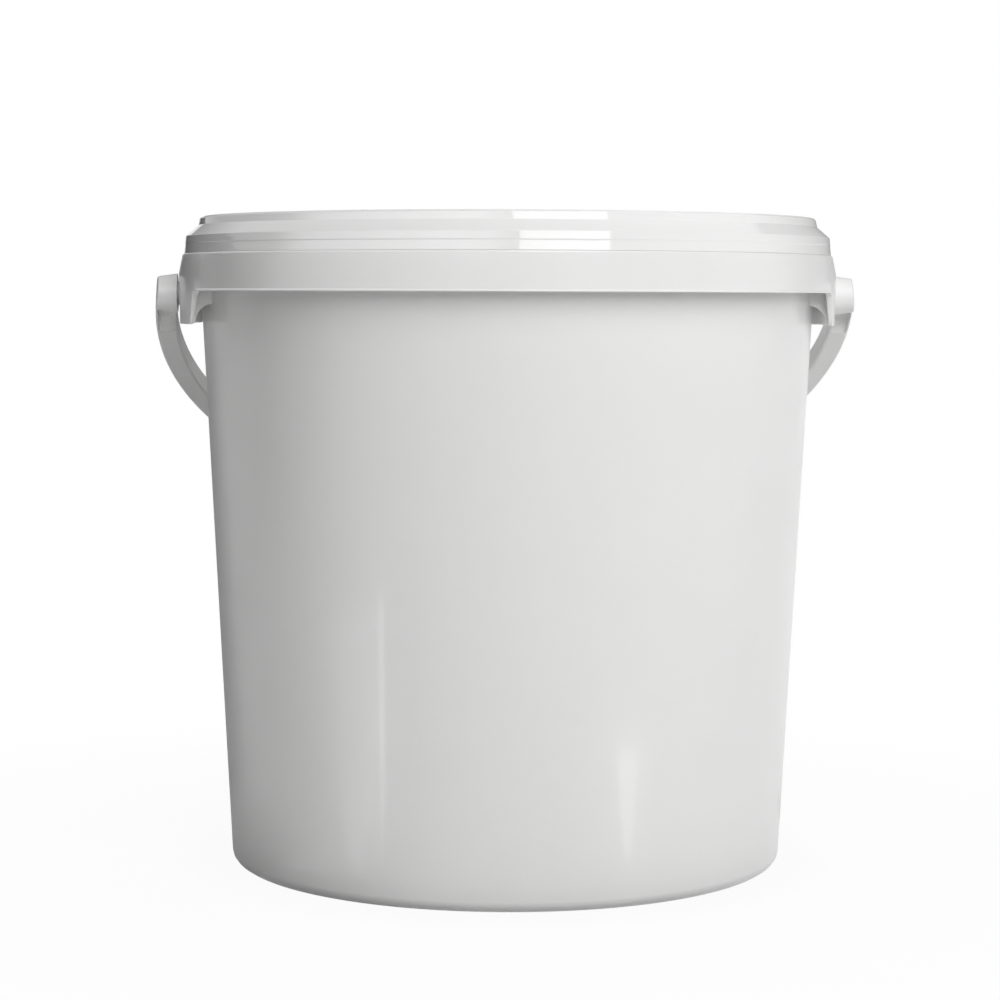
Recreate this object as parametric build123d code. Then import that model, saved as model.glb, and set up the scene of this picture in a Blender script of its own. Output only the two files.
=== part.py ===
from build123d import *
import os
from math import acos, asin, atan2, cos, degrees, hypot, radians, sin, sqrt, tan

# A round pail with a push-on lid and a swinging bail handle. Sizes are millimetres and degrees.
# Z is up, the origin is the middle of the base, X is the handle's pivot line,
# and the handle hangs behind the pail, on the +Y side.

# Pail wall and base
base_radius = 112.6            # outer wall, carried down to the standing plane
wall_draft = 2.975             # outward lean of the wall
wall_thickness = 1.7
base_corner = 3.2              # round between wall and base
foot_width = 8.0               # standing ring
foot_lift = 2.5                # hollow under the base
floor_thickness = 2.0
floor_corner = 3.0             # round between wall and floor, inside
gate_radius = 6.0              # moulding mark in the middle of base and lid
gate_depth = 0.6

# Collar and rim
collar_height = 247.9          # top of the collar above the standing plane
collar_overhang = 6.6          # collar's top edge beyond the wall
collar_depth = 15.05
collar_flare = 0.8             # the skirt is this much wider at its lower edge
collar_web = 1.6               # thickness of the collar's top
skirt_thickness = 1.3
skirt_edge_round = 0.4
neck_height = 7.7              # rim above the collar
rim_round = 0.5
bead_overhang = 2.2            # snap bead beyond the wall
bead_height = 2.2
bead_drop = 1.9                # bead's top below the rim
rib_pitch = 15.0               # angle between the ribs under the collar
rib_thickness = 1.2
rib_lift = 3.5                 # ribs stop this far above the skirt's edge

# Ears that drop from the collar on the pivot line
ear_raise = 1.2                # ear's face beyond the middle of the skirt
ear_blend = 8.0                # height over which the ear's face rises from under the lid
ear_half_angle = 22.8
ear_ramp_angle = 5.2           # further angle over which the ear's face runs out into the skirt
ear_edge_thickness = 1.5       # at the ear's lower edge
pivot_drop = 0.85              # pivot line below the skirt's edge
ear_reach = 12.2               # ear's lower edge below the pivot line
ear_draft = 0.4                # the ear's face leans in by this much towards its lower edge
ear_top_half_width = 45.5
ear_foot_half_width = 38.9
ear_inside_round = 3.0
ear_outside_round = 2.0
gusset_place = 36.5            # either side of the pivot line
gusset_thickness = 1.6
gusset_drop = 3.5              # gusset's lower edge below the pivot line
gusset_foot = 1.2              # width of the gusset that runs on down the ear
gusset_sweep = 5.6             # hollow round between the gusset's lower edge and its foot

# Lid
lid_gap = 0.3                  # lid's lower edge above the collar
lid_setback = 0.55             # lid's lower edge inside the collar's top edge
lid_wall = 1.7
lower_band_height = 3.15
lower_band_lean = 0.35
groove_height = 0.8
groove_depth = 0.5
upper_band_lean = 0.3
shoulder_drop = 0.7            # shoulder's foot below the bucket's rim
shoulder_run = 5.0
shoulder_rise = 4.3
crown_run = 0.6
crown_rise = 2.8
crown_top_rise = 0.7
crown_top_run = 0.7
crown_width = 1.7
crown_round = 0.5
panel_drop = 7.7               # panel below the crown
panel_thickness = 1.8
panel_corner = 1.5
plug_wall = 1.7
plug_depth = 8.6               # plug below the bucket's rim
plug_clearance = 0.35
plug_lead = 0.6
snap_clearance = 0.35          # lid's snap edge outside the bucket's bead
snap_gap = 0.5                 # snap edge below the bead
snap_step = 0.6
stack_clearance = 1.2          # a second pail's base inside the stacking ring
stack_ring_width = 1.8
stack_ring_height = 2.0
centre_radius = 96.0           # raised middle of the panel
centre_rise = 1.4
centre_slope = 3.0

# Sealing ring in the lid's channel
seal_height = 1.8
seal_clearance = 0.2           # over the bucket's rim
seal_side_clearance = 0.12

# Handle
hub_gap = 0.6                  # hub's face off the ear
strap_width = 8.6
strap_thickness = 9.0
strap_round = 1.2
bow_offset = 17.3              # bow's centre beyond the pivot line
grip_half_length = 46.0
grip_ramp = 22.0               # length over which the strap swells into the grip
ramp_steps = 6
grip_width = 16.0
rest_gap = 0.4                 # grip off the pail's wall when the handle hangs
hub_radius = 8.0
hub_taper = 0.9                # the hub is this much slimmer at its outer end
hub_round = 0.8
hub_proud = 0.3                # hub's outer end beyond the strap's outer face
pin_radius = 4.7
pin_clearance = 0.1
pin_head_radius = 5.9
pin_head_thickness = 2.0
pin_head_lead = 0.8
pin_head_gap = 0.5             # head off the inside of the skirt
pocket_margin = 0.9            # flat pocket below each hub, inside the strap's edges
pocket_end = 21.0
pocket_corner = 2.0
pocket_shallow = 0.4
pocket_deep = 4.5
cell_wall = 1.7                # open cells along the back of the strap
cell_floor = 2.0
cell_count = 6
cell_start = 6.0               # angle along the bow where the first cell begins
cell_end = 62.0
cell_rib = 1.6
cell_corner = 1.0


def wall_radius(height):
    """Outer radius of the pail's wall at a height."""
    return base_radius + height * tan(radians(wall_draft))


def bore_radius(height):
    """Inner radius of the pail's wall at a height."""
    return wall_radius(height) - wall_thickness


def polar(radius, angle):
    """Point on a circle about the origin."""
    return Vector(radius * cos(radians(angle)), radius * sin(radians(angle)))


# Heights and radii that several pieces share
collar_bottom = collar_height - collar_depth
web_bottom = collar_height - collar_web
rim_height = collar_height + neck_height
collar_radius = wall_radius(collar_height) + collar_overhang
skirt_radius = collar_radius + collar_flare
skirt_inside = skirt_radius - skirt_thickness
ear_radius = collar_radius + collar_flare / 2 + ear_raise
pivot_height = collar_bottom - pivot_drop
ear_bottom = pivot_height - ear_reach
bead_radius = wall_radius(rim_height - bead_drop) + bead_overhang
bead_bottom = rim_height - bead_drop - bead_height
floor_height = foot_lift + floor_thickness
foot_inside = base_radius - base_corner - foot_width


def outline(corners):
    """Closed face from (x, y, corner round) entries."""
    points = [(x, y) for x, y, corner in corners]
    rounds = [corner for x, y, corner in corners]
    return make_face(FilletPolyline(*points, radius=rounds, close=True))


def turned(corners):
    """Solid turned about Z from (radius, height, corner round) entries."""
    return revolve(Plane.XZ * outline(corners), Axis.Z)


def pail_body():
    """Base, wall, collar and rim in one turned form."""
    return turned([
        (0, foot_lift + gate_depth, 0),
        (gate_radius, foot_lift + gate_depth, 0),
        (gate_radius, foot_lift, 0),
        (foot_inside - foot_lift, foot_lift, 0),
        (foot_inside, 0, 0),
        (base_radius, 0, base_corner),
        (wall_radius(web_bottom), web_bottom, 0),
        (collar_radius - skirt_thickness, web_bottom, 0),
        (skirt_inside, collar_bottom, skirt_edge_round),
        (skirt_radius, collar_bottom, skirt_edge_round),
        (collar_radius, collar_height, skirt_edge_round),
        (wall_radius(collar_height), collar_height, 0),
        (wall_radius(bead_bottom), bead_bottom, 0),
        (bead_radius, bead_bottom + bead_height / 3, 0),
        (bead_radius, bead_bottom + 2 * bead_height / 3, 0),
        (wall_radius(bead_bottom + bead_height), bead_bottom + bead_height, 0),
        (wall_radius(rim_height), rim_height, rim_round),
        (bore_radius(rim_height), rim_height, rim_round),
        (bore_radius(floor_height), floor_height, floor_corner),
        (0, floor_height, 0),
    ])


def under_collar(bottom):
    """Ring-shaped space between wall and skirt, from a height up into the collar's web."""
    top = collar_height - collar_web / 2
    outside = skirt_inside + skirt_thickness / 2
    return turned([
        (wall_radius(bottom) - wall_thickness / 2, bottom, 0),
        (outside, bottom, 0),
        (collar_radius - skirt_thickness / 2, top, 0),
        (wall_radius(top) - wall_thickness / 2, top, 0),
    ])


def collar_ribs():
    """Upright ribs under the collar, left out behind the ears."""
    ribs = []
    clear_angle = ear_half_angle + ear_ramp_angle
    reach = skirt_radius
    height = collar_height - collar_bottom - rib_lift
    plate = Pos(reach / 2, 0, collar_height - height / 2) * Box(reach, rib_thickness, height)
    for step in range(round(360 / rib_pitch)):
        angle = (step + 0.5) * rib_pitch
        off_pivot = min(angle % 180, 180 - angle % 180)
        if off_pivot > clear_angle:
            ribs.append(Rot(0, 0, angle) * plate)
    return under_collar(collar_bottom + rib_lift) & Compound(children=ribs)


def ear_plate():
    """Ear on the +X side: raised face on the skirt and the tab that drops below it."""
    shell = turned([
        (collar_radius, collar_height - skirt_edge_round, 0),
        (ear_radius, collar_height - ear_blend, 0),
        (ear_radius - ear_draft, ear_bottom, 0),
        (ear_radius - ear_draft - ear_edge_thickness, ear_bottom, 0),
        (skirt_inside, collar_bottom, 0),
        (collar_radius - skirt_thickness / 2, collar_height - skirt_edge_round, 0),
    ])
    edge = polar(ear_radius, ear_half_angle)
    foot = polar(collar_radius + collar_flare / 2, ear_half_angle + ear_ramp_angle)
    outer = edge + (edge - foot) * 2
    inner = foot + (foot - edge)
    wedge = make_face(Polyline(
        (0, 0), (inner.X, -inner.Y), (outer.X, -outer.Y), (outer.X, outer.Y), (inner.X, inner.Y), close=True,
    ))
    sector = Pos(0, 0, ear_bottom) * extrude(wedge, collar_height - ear_bottom)
    shoulder = inner.Y
    front = outline([
        (-shoulder, collar_height, 0),
        (-shoulder, collar_bottom, 0),
        (-ear_top_half_width, collar_bottom, ear_inside_round),
        (-ear_foot_half_width, ear_bottom, ear_outside_round),
        (ear_foot_half_width, ear_bottom, ear_outside_round),
        (ear_top_half_width, collar_bottom, ear_inside_round),
        (shoulder, collar_bottom, 0),
        (shoulder, collar_height, 0),
    ])
    return shell & sector & extrude(Plane.YZ * front, skirt_radius + ear_radius)


def ear_gussets():
    """Two gussets on the +X side, between the wall and the ear, swept down along the ear."""
    wall_end = sqrt(wall_radius(pivot_height) ** 2 - gusset_place ** 2)
    ear_end = sqrt((ear_radius - ear_draft - ear_edge_thickness) ** 2 - gusset_place ** 2)
    inner = wall_end - 2 * wall_thickness
    outer = ear_end + ear_edge_thickness / 2
    low = pivot_height - gusset_drop
    foot = ear_end - gusset_foot
    plate = outline([
        (inner, low, 0), (foot, low, gusset_sweep), (foot, ear_bottom, 0),
        (outer, ear_bottom, 0), (outer, collar_height, 0), (inner, collar_height, 0),
    ])
    blade = extrude(Plane.XZ * plate, gusset_thickness / 2, both=True)
    pair = Compound(children=[Pos(0, gusset_place, 0) * blade, Pos(0, -gusset_place, 0) * blade])
    top = collar_height - collar_web / 2
    ear_skin = ear_radius - ear_draft - ear_edge_thickness / 2
    space = turned([
        (wall_radius(ear_bottom) - wall_thickness / 2, ear_bottom, 0),
        (ear_skin, ear_bottom, 0),
        (skirt_inside + skirt_thickness / 2, collar_bottom, 0),
        (collar_radius - skirt_thickness / 2, top, 0),
        (wall_radius(top) - wall_thickness / 2, top, 0),
    ])
    return space & pair


def bucket():
    """Pail, collar, ears, gussets and ribs as one moulding, with the two pin holes."""
    ear = ear_plate()
    gussets = ear_gussets()
    body = pail_body() + collar_ribs()
    hole_length = ear_radius - wall_radius(pivot_height)
    hole = Rot(0, 90, 0) * Cylinder(pin_radius + pin_clearance, hole_length)
    hole = Pos(ear_radius, 0, pivot_height) * hole
    side = ear + gussets
    body = body + side + mirror(side, Plane.YZ)
    return body - hole - mirror(hole, Plane.YZ)


# Lid heights and radii that the lid and its seal share
lid_bottom = collar_height + lid_gap
lid_radius = collar_radius - lid_setback
groove_bottom = lid_bottom + lower_band_height
groove_top = groove_bottom + groove_height
shoulder_foot = rim_height - shoulder_drop
shoulder_top = shoulder_foot + shoulder_rise
crown_foot = shoulder_top + crown_rise
lid_top = crown_foot + crown_top_rise
band_radius = lid_radius - lower_band_lean
shoulder_radius = band_radius - upper_band_lean
crown_radius = shoulder_radius - shoulder_run
top_radius = crown_radius - crown_run
roof_height = rim_height + seal_clearance + seal_height
skirt_bore = shoulder_radius - lid_wall


def channel_radius(height):
    """Inside of the lid's sloping shoulder at a height."""
    across = hypot(shoulder_run, shoulder_rise)
    level = shoulder_radius - lid_wall * across / shoulder_rise
    return level - (height - shoulder_foot) * shoulder_run / shoulder_rise


def plug_radius(height):
    """Outside of the lid's plug at a height."""
    return bore_radius(height) - plug_clearance


def lid():
    """Stepped rim, plug and recessed panel in one turned form."""
    panel_top = lid_top - panel_drop
    panel_low = panel_top - panel_thickness
    plug_bottom = rim_height - plug_depth
    plug_inside = plug_radius(plug_bottom) - plug_wall
    crown_inside = top_radius - crown_top_run - crown_width
    ring_inside = base_radius + stack_clearance
    ring_outside = ring_inside + stack_ring_width
    snap_radius = bead_radius + snap_clearance
    snap_top = bead_bottom - snap_gap
    channel_foot = shoulder_foot - (skirt_bore - channel_radius(shoulder_foot)) * shoulder_rise / shoulder_run
    return turned([
        (0, panel_low + centre_rise, 0),
        (centre_radius - panel_thickness / 2, panel_low + centre_rise, 0),
        (centre_radius + centre_slope - panel_thickness / 2, panel_low, 0),
        (plug_inside, panel_low, panel_corner),
        (plug_inside, plug_bottom, 0),
        (plug_radius(plug_bottom) - plug_lead, plug_bottom, 0),
        (plug_radius(plug_bottom + plug_lead), plug_bottom + plug_lead, 0),
        (plug_radius(roof_height), roof_height, 0),
        (channel_radius(roof_height), roof_height, 0),
        (skirt_bore, channel_foot, 0),
        (skirt_bore, snap_top, 0),
        (snap_radius, snap_top - snap_step, 0),
        (lid_radius - lid_wall, lid_bottom, skirt_edge_round),
        (lid_radius, lid_bottom, skirt_edge_round),
        (band_radius, groove_bottom, 0),
        (band_radius - groove_depth, groove_bottom + groove_height / 3, 0),
        (band_radius - groove_depth, groove_bottom + 2 * groove_height / 3, 0),
        (band_radius, groove_top, 0),
        (shoulder_radius, shoulder_foot, crown_round),
        (crown_radius, shoulder_top, 0),
        (top_radius, crown_foot, 0),
        (top_radius - crown_top_run, lid_top, crown_round),
        (crown_inside, lid_top, crown_round),
        (crown_inside, panel_top, panel_corner),
        (ring_outside, panel_top, 0),
        (ring_outside, panel_top + stack_ring_height, crown_round),
        (ring_inside, panel_top + stack_ring_height, crown_round),
        (ring_inside, panel_top, 0),
        (centre_radius + centre_slope, panel_top, 0),
        (centre_radius, panel_top + centre_rise, 0),
        (gate_radius, panel_top + centre_rise, 0),
        (gate_radius, panel_top + centre_rise - gate_depth, 0),
        (0, panel_top + centre_rise - gate_depth, 0),
    ])


def lid_seal():
    """Soft ring with a wedge section under the roof of the lid's channel."""
    foot = roof_height - seal_height
    return turned([
        (plug_radius(foot) + seal_side_clearance, foot, 0),
        (channel_radius(foot) - seal_side_clearance, foot, 0),
        (channel_radius(roof_height) - seal_side_clearance, roof_height, 0),
        (plug_radius(roof_height) + seal_side_clearance, roof_height, 0),
    ])


# Handle in its own plane: X along the pivot line, +Y towards the grip, Z through the strap
hub_inside = ear_radius + hub_gap
hub_outside = hub_inside + strap_width
bow_radius = hypot((hub_inside + hub_outside) / 2, bow_offset)
bow_inside = bow_radius - strap_width / 2
bow_outside = bow_radius + strap_width / 2
bow_axis = Axis((0, bow_offset, 0), (0, 0, 1))
bow_start = -degrees(asin(bow_offset / bow_radius))
grip_angle = degrees(grip_half_length / bow_radius)
ramp_angle = degrees(grip_ramp / bow_radius)


def strap_section(angle, width):
    """Rounded section across the bow, at an angle along it from the X direction."""
    outward = polar(1, angle)
    place = Plane(
        origin=outward * bow_radius + Vector(0, bow_offset),
        x_dir=outward,
        z_dir=(-outward.Y, outward.X, 0),
    )
    return place * RectangleRounded(strap_width, width, strap_round)


def strap():
    """Round bow from hub to hub that swells into a wider grip in its middle."""
    arm_angle = 90 - grip_angle - ramp_angle
    arm = revolve(strap_section(bow_start, strap_thickness), bow_axis, arm_angle - bow_start)
    sections = []
    for step in range(ramp_steps + 1):
        share = step / ramp_steps
        ease = share * share * (3 - 2 * share)
        width = strap_thickness + (grip_width - strap_thickness) * ease
        sections.append(strap_section(arm_angle + share * ramp_angle, width))
    swell = loft(sections)
    grip = revolve(strap_section(90 - grip_angle, grip_width), bow_axis, grip_angle)
    half = arm + swell + grip
    return half + mirror(half, Plane.YZ)


def hub_pocket():
    """Sloping flat pocket in the strap's front face, just below the hub on the +X side."""
    half = strap_width / 2 - pocket_margin
    window = outline([
        (bow_radius - half, 0, 0), (bow_radius + half, 0, 0),
        (bow_radius + half, pocket_end, pocket_corner), (bow_radius - half, pocket_end, pocket_corner),
    ])
    low = -strap_thickness / 2
    wedge = make_face(Polyline(
        (0, low - pocket_deep), (pocket_end, low - pocket_deep),
        (pocket_end, low + pocket_shallow), (hub_radius, low + pocket_deep), (0, low + pocket_deep), close=True,
    ))
    block = extrude(Plane.YZ * wedge, bow_outside + strap_width)
    return block & extrude(window, strap_thickness, both=True)


def strap_cells():
    """Open cells in the back of the strap, between the hub and the grip on the +X side."""
    cells = []
    pitch = (cell_end - cell_start) / cell_count
    rib_angle = degrees(cell_rib / bow_radius)
    inside = bow_inside + cell_wall
    outside = bow_outside - cell_wall
    for step in range(cell_count):
        first = cell_start + step * pitch
        last = first + pitch - rib_angle
        middle = (first + last) / 2
        corners = [polar(inside, first), polar(outside, first), polar(outside, last), polar(inside, last)]
        lines = [
            Line(corners[0], corners[1]),
            ThreePointArc(corners[1], polar(outside, middle), corners[2]),
            Line(corners[2], corners[3]),
            ThreePointArc(corners[3], polar(inside, middle), corners[0]),
        ]
        cell = make_face(lines)
        cell = fillet(cell.vertices(), cell_corner)
        floor = cell_floor - strap_thickness / 2
        cells.append(Pos(0, bow_offset, floor) * extrude(cell, grip_width))
    return cells


def hub_and_pin():
    """Hub on the +X side with its pivot pin and the head that keeps it in the ear."""
    cap_radius = bow_outside + hub_proud
    length = cap_radius - hub_inside
    drum = Cone(hub_radius, hub_radius - hub_taper, length, align=(Align.CENTER, Align.CENTER, Align.MIN))
    drum = Pos(hub_inside, 0, 0) * Rot(0, 90, 0) * drum
    drum = drum & Pos(0, bow_offset, 0) * Cylinder(cap_radius, 2 * grip_width)
    outer_edges = drum.edges().filter_by(lambda edge: edge.center().X > hub_outside - strap_width / 4)
    drum = fillet(outer_edges, hub_round)
    head_face = skirt_inside - collar_flare - pin_head_gap
    head_end = head_face - pin_head_thickness
    profile = make_face(Polyline(
        (0, head_end), (pin_head_radius - pin_head_lead, head_end),
        (pin_head_radius, head_end + pin_head_lead), (pin_head_radius, head_face),
        (pin_radius, head_face), (pin_radius, hub_inside), (0, hub_inside), close=True,
    ))
    pin = revolve(Plane.XZ * profile, Axis.Z)
    return drum + Rot(0, 90, 0) * pin


def rest_angle():
    """Angle below level at which the grip hangs a small gap off the pail's wall."""
    lean = tan(radians(wall_draft))
    reach = bow_offset + bow_inside
    drop = -grip_width / 2
    along = reach - lean * drop
    across = drop + lean * reach
    wall = base_radius + lean * pivot_height + rest_gap / cos(radians(wall_draft))
    return degrees(atan2(across, along) + acos(wall / hypot(along, across)))


def handle():
    """Strap, hubs and pins as one moulding, turned to its hanging place."""
    bow = strap()
    pocket = hub_pocket()
    bow = bow - pocket - mirror(pocket, Plane.YZ)
    for cell in strap_cells():
        bow = bow - cell - mirror(cell, Plane.YZ)
    hub = hub_and_pin()
    bow = bow + hub + mirror(hub, Plane.YZ)
    return Pos(0, 0, pivot_height) * Rot(-rest_angle(), 0, 0) * bow


os.makedirs("parts", exist_ok=True)
export_step(bucket(), "parts/bucket.step")
export_step(lid(), "parts/lid.step")
export_step(lid_seal(), "parts/lid_seal.step")
export_step(handle(), "parts/handle.step")
print("pivot height", round(pivot_height, 3), "rest angle", round(rest_angle(), 3), "top", round(lid_top, 3))
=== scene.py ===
import logging
from dataclasses import dataclass
from enum import Enum
from math import acos, asin, atan2, cos, degrees, hypot, pi, radians, sin, sqrt, tan
from typing import Callable, NamedTuple, Sequence

import bmesh
import bpy
from mathutils import Matrix, Vector


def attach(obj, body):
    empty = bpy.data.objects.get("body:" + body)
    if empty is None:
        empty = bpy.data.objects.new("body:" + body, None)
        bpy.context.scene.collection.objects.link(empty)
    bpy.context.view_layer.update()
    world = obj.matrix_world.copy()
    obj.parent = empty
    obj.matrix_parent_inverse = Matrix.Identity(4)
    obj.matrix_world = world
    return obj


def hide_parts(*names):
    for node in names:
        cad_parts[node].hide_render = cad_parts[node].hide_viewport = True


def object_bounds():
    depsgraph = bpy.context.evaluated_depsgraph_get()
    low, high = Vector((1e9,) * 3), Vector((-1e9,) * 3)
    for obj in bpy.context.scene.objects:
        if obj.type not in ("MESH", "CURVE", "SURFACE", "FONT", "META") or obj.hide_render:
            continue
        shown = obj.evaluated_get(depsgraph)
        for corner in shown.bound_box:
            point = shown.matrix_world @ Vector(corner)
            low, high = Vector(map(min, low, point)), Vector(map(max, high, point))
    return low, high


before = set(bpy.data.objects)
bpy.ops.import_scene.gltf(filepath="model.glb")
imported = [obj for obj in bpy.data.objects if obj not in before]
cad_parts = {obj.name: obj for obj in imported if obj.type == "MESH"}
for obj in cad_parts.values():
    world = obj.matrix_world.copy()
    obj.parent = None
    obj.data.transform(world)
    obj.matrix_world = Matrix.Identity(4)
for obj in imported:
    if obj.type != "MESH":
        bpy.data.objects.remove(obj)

# A round white pail with a push-on lid and a bail handle that hangs behind it.
# The pieces' sizes are in millimetres, which become metres where a mesh is made.
# The studio's are in metres.
# Z is up, X is the handle's pivot line, and the camera looks along +Y.

MM = 0.001
MERGE = 5e-6  # distance within which two vertices are one
CREASE = 32.0  # degrees above which an edge stays sharp
FLAT = 0.99  # least part of a normal that lies along Z on a flat face
CAD_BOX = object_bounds()
LOG = logging.getLogger("pail")

Point = tuple[float, float]
Triple = tuple[float, float, float]
Mesh = bpy.types.Object
Socket = bpy.types.NodeSocket
Material = bpy.types.Material

ORIGIN: Triple = (0, 0, 0)
X_AXIS: Triple = (1, 0, 0)
Z_AXIS: Triple = (0, 0, 1)
WHITE = (1.0, 1.0, 1.0, 1.0)


class Join(Enum):
    """Ways to combine two closed shapes."""

    ADD = "UNION"
    CUT = "DIFFERENCE"


class Element(Enum):
    """What can be picked from a mesh, with the name of its list."""

    FACE = "faces"
    EDGE = "edges"


class Corner(NamedTuple):
    """One corner of an outline, with the radius that rounds it."""

    across: float
    up: float
    bend: float = 0.0


class Span(NamedTuple):
    """A stretch of a turned form, and the number of faces along it."""

    angle: float
    steps: int


FULL_TURN = (Span(360.0, 360),)


@dataclass(frozen=True)
class Outline:
    """Corners of a cross-section, each rounded by its own arc."""

    corners: tuple[Corner, ...]
    closed: bool = True  # False where it starts and ends on the axis
    arc_steps: int = 4

    def points(self) -> list[Point]:
        """Points along the outline, with arcs at the rounded corners.

        Returns:
            Places across and up, in order.
        """
        path: list[Point] = []
        for index, corner in enumerate(self.corners):
            if corner.bend:
                after = self.corners[(index + 1) % len(self.corners)]
                path.extend(self.arc(self.corners[index - 1], corner, after))
            else:
                path.append((corner.across, corner.up))
        return path

    def arc(self, before: Corner, corner: Corner, after: Corner) -> list[Point]:
        """Arc that rounds one corner.

        Args:
            before: Corner that comes first.
            corner: Corner to round.
            after: Corner that follows.

        Returns:
            Points from one tangent point to the other.
        """
        here = Vector((corner.across, corner.up))
        back = (Vector((before.across, before.up)) - here).normalized()
        ahead = (Vector((after.across, after.up)) - here).normalized()
        half = back.angle(ahead) / 2
        middle = here + (back + ahead).normalized() * (corner.bend / sin(half))
        start = here + back * (corner.bend / tan(half)) - middle
        end = here + ahead * (corner.bend / tan(half)) - middle
        first = atan2(start.y, start.x)
        swing = (atan2(end.y, end.x) - first + pi) % (2 * pi) - pi
        angles = [first + swing * step / self.arc_steps for step in range(self.arc_steps + 1)]
        return [(middle.x + corner.bend * cos(a), middle.y + corner.bend * sin(a)) for a in angles]


# Steps of modelling by hand, through the mesh operators.

def put_down() -> None:
    """Leave edit mode and deselect everything, the frame's nodes included."""
    active = bpy.context.view_layer.objects.active
    if active and active.mode != "OBJECT":
        bpy.ops.object.mode_set(mode="OBJECT")
    bpy.ops.object.select_all(action="DESELECT")


def take(*pieces: Mesh) -> None:
    """Select only these pieces, in object mode.

    Args:
        pieces: Pieces to select, of which the first becomes active.
    """
    put_down()
    for piece in pieces:
        piece.select_set(True)
    bpy.context.view_layer.objects.active = pieces[0]


def edit(piece: Mesh) -> None:
    """Enter edit mode with everything selected.

    Args:
        piece: Piece to edit.
    """
    take(piece)
    bpy.ops.object.mode_set(mode="EDIT")
    bpy.ops.mesh.select_all(action="SELECT")


def settle(piece: Mesh) -> None:
    """Put a piece's place, turn and scale into its mesh."""
    take(piece)
    bpy.ops.object.transform_apply(location=True, rotation=True, scale=True)


def named(name: str) -> Mesh:
    """Name the object that an operator has just added.

    Args:
        name: Name of the object and of its mesh.

    Returns:
        The object.
    """
    piece = bpy.context.object
    piece.name = name
    piece.data.name = name
    return piece


def draw(name: str, points: Sequence[Point], closed: bool) -> Mesh:
    """Draw a chain of edges in the XZ plane by extruding one vertex from point to point.

    Args:
        name: Name of the new piece.
        points: Places along the chain, in millimetres.
        closed: Whether the last point joins the first.

    Returns:
        The piece, in edit mode with all of the chain selected.
    """
    put_down()
    bpy.ops.mesh.primitive_circle_add(vertices=3, radius=MM, location=ORIGIN)
    piece = named(name)
    bpy.ops.object.mode_set(mode="EDIT")
    bpy.ops.mesh.select_mode(type="VERT")
    bpy.ops.mesh.select_all(action="SELECT")
    bpy.ops.mesh.merge(type="CENTER")
    chain = [*points, points[0]] if closed else list(points)
    bpy.ops.transform.translate(value=(chain[0][0] * MM, 0, chain[0][1] * MM))
    for here, there in zip(chain, chain[1:]):
        step = ((there[0] - here[0]) * MM, 0, (there[1] - here[1]) * MM)
        bpy.ops.mesh.extrude_region_move(TRANSFORM_OT_translate={"value": step})
    bpy.ops.mesh.select_all(action="SELECT")
    bpy.ops.mesh.remove_doubles(threshold=MERGE)
    return piece


def close() -> None:
    """Merge the seams and poles of the piece in hand, face it outwards and leave edit mode."""
    bpy.ops.mesh.select_all(action="SELECT")
    bpy.ops.mesh.remove_doubles(threshold=MERGE)
    bpy.ops.mesh.normals_make_consistent(inside=False)
    bpy.ops.object.mode_set(mode="OBJECT")


def sweep(spans: Sequence[Span], axis: Triple, centre: Triple = ORIGIN) -> None:
    """Sweep the selected section round an axis, and close the piece in hand.

    Args:
        spans: Stretches of the sweep, with their faces.
        axis: Direction of the axis.
        centre: Point on the axis, in metres.
    """
    for span in spans:
        bpy.ops.mesh.spin(steps=span.steps, angle=radians(span.angle), center=centre, axis=axis)
    close()


def turn(name: str, outline: Outline, spans: Sequence[Span], axis: Triple = Z_AXIS) -> Mesh:
    """Turn an outline about an axis through the origin.

    Args:
        name: Name of the new piece.
        outline: Cross-section in the XZ plane.
        spans: Stretches of the turn, with their faces.
        axis: Direction of the axis.

    Returns:
        The closed piece, in object mode.
    """
    piece = draw(name, outline.points(), outline.closed)
    sweep(spans, axis)
    return piece


def slab(name: str, outline: Outline, thickness: float, place: float = 0.0) -> Mesh:
    """Flat plate parallel to the XZ plane.

    Args:
        name: Name of the new piece.
        outline: Edge of the plate.
        thickness: Thickness along Y.
        place: Y of the plate's middle.

    Returns:
        The closed piece, in object mode.
    """
    piece = draw(name, outline.points(), True)
    bpy.ops.mesh.edge_face_add()
    bpy.ops.transform.translate(value=(0, (place - thickness / 2) * MM, 0))
    bpy.ops.mesh.extrude_region_move(TRANSFORM_OT_translate={"value": (0, thickness * MM, 0)})
    close()
    return piece


def copy(piece: Mesh, angle: float = 0.0, flip: bool = False) -> Mesh:
    """Copy a piece with its own mesh.

    Args:
        piece: Piece to copy.
        angle: Turn of the copy about Z, in degrees.
        flip: Whether the copy is mirrored across the YZ plane.

    Returns:
        The copy, with its place in its mesh.
    """
    twin = piece.copy()
    twin.data = piece.data.copy()
    bpy.context.collection.objects.link(twin)
    twin.rotation_euler.z = radians(angle)
    twin.scale.x = -1.0 if flip else 1.0
    settle(twin)
    bpy.ops.object.mode_set(mode="EDIT")
    close()
    return twin


def gather(pieces: Sequence[Mesh]) -> Mesh:
    """Join pieces into the first of them.

    Args:
        pieces: Pieces to join.

    Returns:
        The first piece.
    """
    take(*pieces)
    bpy.ops.object.join()
    return pieces[0]


def combine(piece: Mesh, tool: Mesh, how: Join) -> None:
    """Add a closed shape to a piece or cut it away, and remove the shape.

    Args:
        piece: Piece that changes.
        tool: Shape that is used up.
        how: Whether the shape is added or cut.
    """
    step = piece.modifiers.new(how.name, "BOOLEAN")
    step.operation = how.value
    step.solver = "MANIFOLD"
    step.object = tool
    take(piece)
    bpy.ops.object.modifier_apply(modifier=step.name)
    bpy.data.objects.remove(tool, do_unlink=True)


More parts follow.
